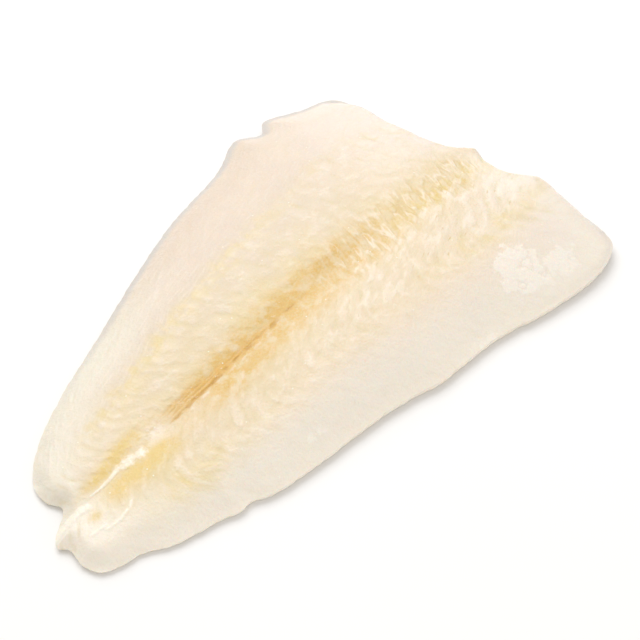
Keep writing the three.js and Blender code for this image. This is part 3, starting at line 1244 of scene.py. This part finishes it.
SIZES = {
    "Tail thickness": 8.2,
    "Loin thickness": 20.0,
    "Head thickness": 18.0,
    "Seam depth": 1.6,
    "Furrow depth": 0.4,
    "Swell": 0.5,
    "Rim lumps": 0.25,
    "Seed": SEED,
    **{relief_label(mark): height for mark, height in RELIEF.items()},
}
print("the tree has", len(SIZES), "sizes")

# %% Build the shaping tree
SWELL_SIZE = 38.0
RELIEF_STARTS = (0.0, 6.0)
RIM_LUMP_SIZE = 12.0
RIM_LUMPS_START = (0.0, 2.5)
RIM_LUMPS_END = (10.0, 4.0)
WALL_SMOOTHS = (0.0, 0.8)


def relief(point, marks, size):
    """How far the surface is pushed out by all marks, in millimetres."""
    push = mottle(point.plan, SWELL_SIZE, PLAIN, size["Seed"]) * size["Swell"]
    marks.pockets = marks.gold * rise(point.along, *POCKETS_START)
    for mark in RELIEF:
        push = push + getattr(marks, mark) * size[relief_label(mark)]
    push = push * rise(point.inward, *RELIEF_STARTS)
    at_rim = rise(point.inward, *RIM_LUMPS_START) * rise(point.inward, *RIM_LUMPS_END)
    push = push + mottle(point.plan, RIM_LUMP_SIZE, SOFT, size["Seed"]) * at_rim * size["Rim lumps"]
    return push * rise(point.level, *WALL_SMOOTHS)


def shaping_tree():
    tree, entry = open_tree("shape the fillet", SIZES)
    size = {label: Field(tree, entry.outputs[label]) for label in SIZES}
    point = Chart(tree)
    marks = Marks(point, size["Seed"])
    lift = vector(0.0, 0.0, slab_height(point, size) * MM)
    mesh = move_points(tree, entry.outputs["Mesh"], lift)
    mesh = move_points(tree, mesh, along_normal(tree, relief(point, marks, size) * MM))
    close_tree(tree, entry, mesh)
    return tree


shaping = shaping_tree()
print("shaping tree has", len(shaping.nodes), "nodes")

# %% [markdown]
# ## The flesh
# Raw white fish is not a flat white. Light goes in, scatters, and comes out a little warmer, so
# the shader has subsurface scattering. A thin glaze of ice gives a soft gloss over it, which is
# the coat. The colours are mixed in layers, as a painter would: cream flesh, paler towards the
# rim, yellow along the furrows, gold beside the seam, a brown crease, white tendon and frost.
# Over these lie painted light and shade, where the lamps light the fillet unevenly, and painted glints of
# the glaze.

# %% Colours of the flesh
LAMPLIGHT = 1.1
STEPS = 255
STRAIGHT_BELOW = 0.04045
STRAIGHT_SLOPE = 12.92
CURVE_OFFSET = 0.055
CURVE_POWER = 2.4


def to_linear(share):
    """The curve of the sRGB standard: straight in the darkest tones, then a power."""
    if share < STRAIGHT_BELOW:
        return share / STRAIGHT_SLOPE
    return ((share + CURVE_OFFSET) / (1.0 + CURVE_OFFSET)) ** CURVE_POWER


def as_seen(*steps):
    """The shader colour that looks like the given sRGB steps (0 to 255) under the lamps."""
    return (*[to_linear(step / STEPS) / LAMPLIGHT for step in steps], 1.0)


CREAM = as_seen(237, 218, 190)
# The paler outer flesh on the left, painted darker as shade, because the lamp lights the left more.
PALE_WITH_PAINTED_SHADE = as_seen(228, 210, 192)
# Painted light: the near flank on the right is lighter than the flesh, to fill the shade the lamp leaves
# on it.
FLANK_WITH_PAINTED_LIGHT = as_seen(247, 232, 214)
# Painted shade on the left loin, which the lamp lights more than the rest.
SHADE = as_seen(222, 206, 187)
# Painted light: lighter still towards the near edge, where the flank turns away from the lamp.
NEAR_EDGE_PAINTED_LIGHT = as_seen(249, 239, 223)
# The icy outer flesh on the left towards the tail, painted darker as shade against the lamp.
ICY_WITH_PAINTED_SHADE = as_seen(239, 232, 214)
# The pale tail lobes, painted lighter still at the tail end, where the lamp leaves the notch in shade.
LOBE_WITH_PAINTED_LIGHT = as_seen(239, 231, 214)
BLEACHED = as_seen(244, 231, 218)
# Painted shade in the partings between flakes, and a darker tone where the streaks are low.
GAP_SHADE_AND_TONE = as_seen(228, 211, 170)
WISP = as_seen(252, 239, 222)
HALO = as_seen(230, 209, 159)
YELLOW = as_seen(234, 212, 156)
HONEY = as_seen(234, 205, 134)
GOLD = as_seen(227, 188, 110)
OLIVE = as_seen(230, 203, 136)
STRIP = as_seen(231, 185, 100)
BROWN = as_seen(206, 158, 80)
# Painted shade in the sunk cracks of the right loin and in the slits between the pockets.
CRACK_SHADE = as_seen(218, 190, 134)
TENDON_WHITE = as_seen(255, 247, 230)
FROST_WHITE = as_seen(254, 245, 232)
# Painted shade: grey on the rims that face away from the camera, over the glaze's own grey.
RIM_GREY_AND_SHADE = as_seen(212, 205, 197)
print("cream in the shader:", [round(value, 2) for value in CREAM])

# %% [markdown]
# A layer is a colour and the share of it that shows at each point. The first layers are broad:
# how the flesh changes from the seam to the rim, and from the tail to the head.
# Some of them are painted light and shade that even out the lamp: the left, which it lights more, is
# painted darker, and the near side and the tail end, which it leaves in shade, are painted lighter.

# %% Broad layers
GROUND_SHARE = 0.9
PALE_REACHES = (-30.0, 8.0)
RIM_REACHES = (-8.0, 26.0)
ICY_ENDS = (150.0, 60.0)
SHADE_FROM_SEAM = (8.0, 18.0)
SHADE_TO_FURROW = (14.0, 0.0)
SHADE_STARTS = (60.0, 100.0)
SHADE_ENDS = (265.0, 200.0)
SHADE_SHARE = 0.5
LOBE_ENDS = (65.0, 5.0)
LOBE_FROM_SEAM = (4.0, 24.0)
LOBE_CLOSES = (20.0, 6.0)
LOBE_CLOSES_BY = 24.0
BLEACHED_STARTS = (215.0, 300.0)
BLEACHED_FROM = (14.0, 4.0)
BLEACHED_FULL = (36.0, 22.0)
EDGE_REACHES = (34.0, 10.0)
EDGE_ENDS = (304.0, 286.0)


def broad_layers(point, clouds):
    """Layers that change slowly over the fillet, painted light and shade among them."""
    left, right = point.left_side, point.right_side
    outside = rise(point.past_furrow, *RIM_REACHES)
    from_seam = point.across.math("ABSOLUTE")
    # Painted shade on the left loin, where the lamp falls strongest.
    loin = rise(point.across, *SHADE_FROM_SEAM) * rise(point.past_furrow, *SHADE_TO_FURROW)
    loin = loin * rise(point.along, *SHADE_STARTS) * rise(point.along, *SHADE_ENDS)
    # The lobe colour reaches in to the seam at the tail end: painted light on the shaded notch.
    painted_light_reach = rise(point.along, *LOBE_CLOSES) * LOBE_CLOSES_BY
    clear = rise(from_seam, between(*BLEACHED_FROM, left), between(*BLEACHED_FULL, left))
    # The near edge on the right is painted lighter, against the shade the lamp leaves there.
    painted_light_near_edge = rise(point.inward, *EDGE_REACHES) * rise(point.along, *EDGE_ENDS)
    return [
        (PALE_WITH_PAINTED_SHADE, rise(point.past_furrow, *PALE_REACHES) * left * GROUND_SHARE + clouds),
        (FLANK_WITH_PAINTED_LIGHT, outside * right * GROUND_SHARE),
        (ICY_WITH_PAINTED_SHADE, rise(point.along, *ICY_ENDS) * outside * left),
        (SHADE, loin * SHADE_SHARE),
        (LOBE_WITH_PAINTED_LIGHT, rise(point.along, *LOBE_ENDS) * rise(from_seam + painted_light_reach, *LOBE_FROM_SEAM)),
        (BLEACHED, rise(point.along, *BLEACHED_STARTS) * clear),
        (NEAR_EDGE_PAINTED_LIGHT, painted_light_near_edge * right),
    ]


print("pale rim is reached", RIM_REACHES[1], "mm past the furrow")

# %% [markdown]
# The next layers follow the marks, so that colour and relief agree. A table says how strongly
# each mark takes its colour.

# %% Layers that follow the marks
SHOWN = {
    "partings": 0.5,
    "flakes": 0.2,
    "streaks": 0.4,
    "sheets": 0.6,
    "curds": 0.5,
    "pale": 0.8,
    "crease": 0.8,
    "strands": 0.5,
    "cracks": 0.9,
    "slits": 0.5,
    "lip": 0.5,
    "blobs": 0.5,
}
GAPS_SHOW = (0.2, -1.6)
WISPS_SHOW = (-0.2, 1.6)
STREAKY_SHARE = 0.65
NEAR_TAIL = (78.0, 48.0)
NEAR_HEAD = (195.0, 255.0)
SPECKLED = 0.5
HONEY_SHARE = 1.3
STRIP_SHARE = 0.8
FINE_NOISE = 0.7
FINE_SHOWS = (0.3, 1.3)
FINE_SHARE = 0.4


def shown(marks, *names):
    """The sum of some marks, each as strong as the table says."""
    total = 0.0
    for name in names:
        total = getattr(marks, name) * SHOWN[name] + total
    return total


def mark_layers(point, marks, specks, streaky):
    """Layers that follow the marks, from the widest to the finest."""
    near_tail = rise(point.along, *NEAR_TAIL)
    near_head = rise(point.along, *NEAR_HEAD)
    speckled = specks * SPECKLED
    gold = marks.gold * (speckled + 1.0)
    fine = rise((marks.flecks + specks) * FINE_NOISE, *FINE_SHOWS)
    return [
        (HALO, marks.halo),
        (YELLOW, marks.yellow),
        # Painted shade along the partings, and darker tone in the low streaks.
        (GAP_SHADE_AND_TONE, rise(streaky, *GAPS_SHOW) * STREAKY_SHARE + shown(marks, "partings")),
        (WISP, rise(streaky, *WISPS_SHOW) * STREAKY_SHARE),
        (WISP, shown(marks, "flakes", "streaks")),
        (HONEY, gold * near_tail * HONEY_SHARE),
        (GOLD, gold * near_tail.flipped() * near_head.flipped()),
        (OLIVE, gold * near_head + marks.spot),
        (WISP, shown(marks, "sheets", "curds", "pale")),
        (STRIP, marks.strip * (speckled + STRIP_SHARE)),
        (BROWN, shown(marks, "crease", "strands")),
        # Painted shade in the cracks and slits.
        (CRACK_SHADE, shown(marks, "cracks", "slits")),
        (WISP, shown(marks, "lip", "blobs")),
        (WISP, fine * (marks.gold + marks.strip) * FINE_SHARE),
    ]


print("marks in the table:", len(SHOWN))

# %% [markdown]
# The last layers lie on top of the rest: the grey of the far rim, partly the glaze's own grey and partly
# painted shade where it turns away, then frost, the white tissue at the tail, and painted glints of the
# ice glaze.

# %% Layers on top
# These place the painted shade of the far rim and of a thin line at the head cut.
FAR_RIM = (6.0, 1.0)
FAR_SIDE = (80.0, 260.0)
FAR_SLANT = 1.6
CUT_LINE_PLACE = 0.4
CUT_LINE_REACH = 0.08
CUT_LINE_STARTS = (8.0, 20.0)
CUT_LINE_SHARE = 0.6
GRAINS = {"size": 2.0, "detail": 3.0, "low": -0.4, "high": 0.6}
GRAIN_SEED = 4.0
FROST_GRAINY = (0.6, 0.85)
TISSUE_GRAINY = (0.6, 1.0)
PIT_SHARE = 0.5
CURL_SHARE = 0.9
SPARKLE_SHARE = 0.8


def top_layers(point, marks, painted_glints):
    """Layers that lie on top of the flesh."""
    # Painted shade along the far rim and a thin line at the head cut, over the grey of the glaze.
    shaded_far_rim = rise(point.inward, *FAR_RIM) * rise(point.along + point.across * FAR_SLANT, *FAR_SIDE)
    shaded_cut_line = hump(point.head_fall - CUT_LINE_PLACE, CUT_LINE_REACH)
    shaded_cut_line = shaded_cut_line * rise(point.across, *CUT_LINE_STARTS) * CUT_LINE_SHARE
    grains = patches(point, GRAIN_SEED, **GRAINS)
    white = marks.tendon.math("MAXIMUM", marks.tab) * between(*TISSUE_GRAINY, grains)
    # The white also carries the painted glints of the glaze.
    for other in (marks.curls * CURL_SHARE, painted_glints * SPARKLE_SHARE):
        white = white.math("MAXIMUM", other)
    return [
        (RIM_GREY_AND_SHADE, shaded_far_rim.math("MAXIMUM", shaded_cut_line)),
        (FROST_WHITE, marks.frost * between(*FROST_GRAINY, grains) - marks.pits * PIT_SHARE),
        (TENDON_WHITE, white),
    ]


print("grains in the white are", GRAINS["size"], "mm across")

# %% Build the flesh
CLOUD_SIZE = 20.0
CLOUD_SEED = 1.0
CLOUD_SHARE = 0.3
SPECK_SIZE = 1.2
SPECK_SEED = 2.0
WISP_SHARES = (1.2, 0.8)
FLECK_SHARE = 0.5
SPECK_SHARE = 0.35
DULLNESS = 0.42
FROST_DULLS_BY = 0.25
CLOUDS_DULL_BY = 0.2
BUMP_SHARE = 0.5
GLAZED = {
    "Subsurface Weight": 0.3,
    "Subsurface Radius": (1.0, 0.62, 0.38),
    "Subsurface Scale": 0.003,
    "Coat Weight": 0.15,
    "Coat Roughness": 0.25,
    "IOR": 1.38,
}
BUMP = {"Strength": 0.3, "Distance": 0.0004}


def tint(tree, under, colour, share):
    """Lays a colour over another one by a share from 0 to 1."""
    node = tree.nodes.new("ShaderNodeMix")
    node.data_type = "RGBA"
    feed(tree, share, node.inputs["Factor"])
    for value, socket in ((under, node.inputs[6]), (colour, node.inputs[7])):
        feed(tree, value, socket)
    return Field(tree, node.outputs[2])


def set_inputs(node, values):
    for name, value in values.items():
        node.inputs[name].default_value = value


def new_material(name):
    """A material with its node tree and shader."""
    material = bpy.data.materials.new(name)
    material.use_nodes = True
    return material, material.node_tree, material.node_tree.nodes["Principled BSDF"]


def flesh_material():
    material, tree, shader = new_material("glazed white flesh")
    point = Chart(tree)
    marks = Marks(point, SEED)
    clouds = mottle(point.plan, CLOUD_SIZE, UNEVEN, CLOUD_SEED) * CLOUD_SHARE
    specks = mottle(point.plan, SPECK_SIZE, UNEVEN, SPECK_SEED)
    streaky = marks.wisps * between(*WISP_SHARES, point.left_side)
    streaky = streaky + marks.flecks * FLECK_SHARE + specks * SPECK_SHARE
    painted_glints = painted_glint_mark(point)
    layers = broad_layers(point, clouds) + mark_layers(point, marks, specks, streaky)
    colour = CREAM
    for over, share in layers + top_layers(point, marks, painted_glints):
        colour = tint(tree, colour, over, share)
    tree.links.new(colour.socket, shader.inputs["Base Color"])
    dull = marks.frost * FROST_DULLS_BY + clouds * CLOUDS_DULL_BY + DULLNESS
    tree.links.new(dull.socket, shader.inputs["Roughness"])
    set_inputs(shader, GLAZED)
    bump = tree.nodes.new("ShaderNodeBump")
    set_inputs(bump, BUMP)
    height = (specks + streaky) * BUMP_SHARE + painted_glints - marks.pits
    tree.links.new(height.socket, bump.inputs["Height"])
    tree.links.new(bump.outputs["Normal"], shader.inputs["Normal"])
    return material


flesh = flesh_material()
print("flesh material has", len(flesh.node_tree.nodes), "nodes")

# %% [markdown]
# ## From blank to fillet
# The modifier runs the tree on the blank. Its inputs are set by socket identifier before the
# first evaluation. The result is then kept as a plain mesh, and the modifier is taken off, so
# that the mesh kept is exactly what is seen.

# %% Shape the fillet
def shaped(piece, tree, values):
    """Runs a tree on a piece and keeps the result as its plain mesh."""
    modifier = piece.modifiers.new(tree.name, "NODES")
    modifier.node_group = tree
    for item in tree.interface.items_tree:
        if item.in_out == "INPUT" and item.name in values:
            modifier[item.identifier] = values[item.name]
    graph = bpy.context.evaluated_depsgraph_get()
    made = bpy.data.meshes.new_from_object(piece.evaluated_get(graph))
    piece.modifiers.remove(modifier)
    old = piece.data
    piece.data = made
    bpy.data.meshes.remove(old)
    made.name = piece.name
    return piece


fillet = shaped(blank, shaping, {**SIZES, "Material": flesh})
fillet.data.calc_loop_triangles()
print("fillet has", len(fillet.data.loop_triangles), "triangles")
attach(fillet, "root")
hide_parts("fillet")

# %% [markdown]
# ## Table, light and camera
# The fillet lies on a plain white table. One large lamp above and behind it on the left gives
# the soft shade along the near side. Two low white cards at the front throw light back on to
# that side, as a photographer's reflectors do, and a bright white sky fills the rest.

# %% Table
TABLE_SIDE = 3.0
TABLE_TONES = [(0.9, 0.885, 0.865, 1.0), (0.91, 0.895, 0.875, 1.0)]
TABLE_CLOUD = 0.3
TABLE_SEED = 3.0
TABLE_EDGE = (-0.5, 0.5)
TABLE_FINISH = {"Roughness": 0.9, "Specular IOR Level": 0.1}


def white_table():
    material, tree, shader = new_material("white table")
    place = Field(tree, tree.nodes.new("ShaderNodeTexCoord").outputs["Object"])
    cloud = rise(mottle(place, TABLE_CLOUD, SOFT, TABLE_SEED), *TABLE_EDGE)
    colour = tint(tree, *TABLE_TONES, cloud)
    tree.links.new(colour.socket, shader.inputs["Base Color"])
    set_inputs(shader, TABLE_FINISH)
    half = TABLE_SIDE / 2
    mesh = bpy.data.meshes.new("table")
    corners = [(-half, -half, 0.0), (half, -half, 0.0), (half, half, 0.0), (-half, half, 0.0)]
    mesh.from_pydata(corners, [], [(0, 1, 2, 3)])
    mesh.materials.append(material)
    table = bpy.data.objects.new("table", mesh)
    bpy.context.scene.collection.objects.link(table)
    return table


white_table()
print("table is", TABLE_SIDE, "m wide")

# %% Light
SKY = {"Color": (1.0, 1.0, 1.0, 1.0), "Strength": 0.6}
LIGHTS = {
    "soft lamp": {"place": (0.5, 0.9, 1.25), "side": 1.6, "power": 22.5},
    "left card": {"place": (-0.95, -0.75, 0.3), "side": 0.9, "power": 2.8},
    "right card": {"place": (0.45, -1.1, 0.3), "side": 0.9, "power": 2.5},
}


def add_light(name, place, side, power):
    """A square light that faces the fillet."""
    data = bpy.data.lights.new(name, "AREA")
    data.size = side
    data.energy = power
    lamp = bpy.data.objects.new(name, data)
    lamp.location = place
    lamp.rotation_mode = "QUATERNION"
    lamp.rotation_quaternion = (-Vector(place)).to_track_quat("-Z", "Y")
    bpy.context.scene.collection.objects.link(lamp)


for name, light in LIGHTS.items():
    add_light(name, **light)
world = bpy.data.worlds.new("white sky")
bpy.context.scene.world = world
world.use_nodes = True
set_inputs(world.node_tree.nodes["Background"], SKY)
bpy.context.scene.view_settings.view_transform = "Standard"
print("lamp, cards and sky are lit")

# %% Camera
CAMERA_AIM = Vector((0.01452, -0.01485, 0.0))
CAMERA_AZIMUTH = math.radians(-49.853)
CAMERA_ELEVATION = math.radians(48.0)
CAMERA_DISTANCE = 0.70
CAMERA_LENS = 80.0
SENSOR_WIDTH = 36.0
NEAREST_SEEN = 0.01

camera_data = bpy.data.cameras.new("camera")
camera_data.lens = CAMERA_LENS
camera_data.sensor_width = SENSOR_WIDTH
camera_data.clip_start = NEAREST_SEEN
camera = bpy.data.objects.new("camera", camera_data)
level = math.cos(CAMERA_ELEVATION)
back = Vector((
    math.sin(CAMERA_AZIMUTH) * level,
    -math.cos(CAMERA_AZIMUTH) * level,
    math.sin(CAMERA_ELEVATION),
))
camera.location = CAMERA_AIM + back * CAMERA_DISTANCE
camera.rotation_mode = "QUATERNION"
camera.rotation_quaternion = (-back).to_track_quat("-Z", "Y")
bpy.context.scene.collection.objects.link(camera)
bpy.context.scene.camera = camera
print("camera at", [round(side, 3) for side in camera.location])
